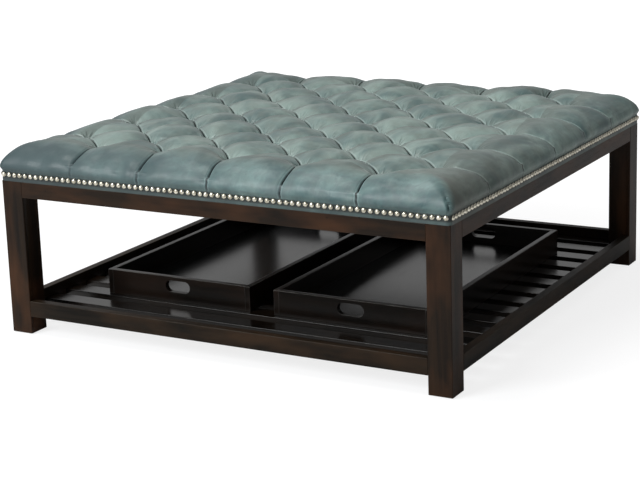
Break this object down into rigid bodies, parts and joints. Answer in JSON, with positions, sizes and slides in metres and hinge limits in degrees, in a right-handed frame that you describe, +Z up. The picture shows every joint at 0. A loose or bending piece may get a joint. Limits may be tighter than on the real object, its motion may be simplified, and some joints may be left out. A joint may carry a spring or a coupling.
{
  "type": "tufted ottoman",
  "caption": "Square leather ottoman with a deep diamond-tufted top, nailhead trim, dark wood legs and rails, and a slatted lower shelf that carries loose trays.",
  "frame": {"origin": "on the floor, under the middle of the ottoman", "axes": "+Z up, -Y towards the front, +X to the right"},
  "size_m": [1.244, 1.244, 0.484],
  "materials": {
    "espresso_wood": "semi-gloss espresso stain, lightly distressed",
    "slat_wood": "satin espresso stain",
    "brace_wood": "raw",
    "glide_plastic": "matte",
    "steel": "zinc plated",
    "plywood": "raw plywood",
    "dust_cloth": "matte non-woven cloth",
    "leather": "semi-gloss pull-up leather, grey teal",
    "foam": "open-cell foam",
    "twine": "waxed twine",
    "nail_brass": "polished pale brass",
    "tray_wood": "semi-gloss near-black stain"
  },
  "bodies": {
    "base": {"leg_back_right": "espresso_wood", "leg_back_left": "espresso_wood", "leg_front_right": "espresso_wood", "leg_front_left": "espresso_wood", "top_rail_front": "espresso_wood", "top_rail_back": "espresso_wood", "top_rail_left": "espresso_wood", "top_rail_right": "espresso_wood", "lower_rail_front": "espresso_wood", "lower_rail_back": "espresso_wood", "lower_rail_left": "espresso_wood", "lower_rail_right": "espresso_wood", "shelf_slat_01": "slat_wood", "shelf_slat_02": "slat_wood", "shelf_slat_03": "slat_wood", "shelf_slat_04": "slat_wood", "shelf_slat_05": "slat_wood", "shelf_slat_06": "slat_wood", "shelf_slat_07": "slat_wood", "shelf_slat_08": "slat_wood", "shelf_slat_09": "slat_wood", "shelf_slat_10": "slat_wood", "shelf_slat_11": "slat_wood", "shelf_slat_12": "slat_wood", "shelf_slat_13": "slat_wood", "shelf_slat_14": "slat_wood", "corner_brace_back_right": "brace_wood", "corner_brace_back_left": "brace_wood", "corner_brace_front_right": "brace_wood", "corner_brace_front_left": "brace_wood", "seat_frame_front": "brace_wood", "seat_frame_back": "brace_wood", "seat_frame_left": "brace_wood", "seat_frame_right": "brace_wood", "foot_glides": "glide_plastic", "hanger_bolts": "steel", "brace_screws": "steel", "seat_screws": "steel", "seat_frame_screws": "steel", "seat_deck": "plywood", "dust_cover": "dust_cloth", "leather_cover": "leather", "foam_core": "foam", "tuft_ties": "twine", "nails_front": "nail_brass", "nails_back": "nail_brass", "nails_left": "nail_brass", "nails_right": "nail_brass"},
    "left_tray": {"left_tray_right_side": "tray_wood", "left_tray_left_side": "tray_wood", "left_tray_back_end": "tray_wood", "left_tray_front_end": "tray_wood", "left_tray_bottom": "tray_wood"},
    "right_tray": {"right_tray_right_side": "tray_wood", "right_tray_left_side": "tray_wood", "right_tray_back_end": "tray_wood", "right_tray_front_end": "tray_wood", "right_tray_bottom": "tray_wood"}
  },
  "joints": [
    {"name": "left_tray_lift_out", "type": "slide", "parent": "base", "child": "left_tray", "axis": [-0.9724, 0, 0.2334], "range_m": [0, 0.62]},
    {"name": "right_tray_lift_out", "type": "slide", "parent": "base", "child": "right_tray", "axis": [0.9724, 0, 0.2334], "range_m": [0, 0.62]}
  ]
}
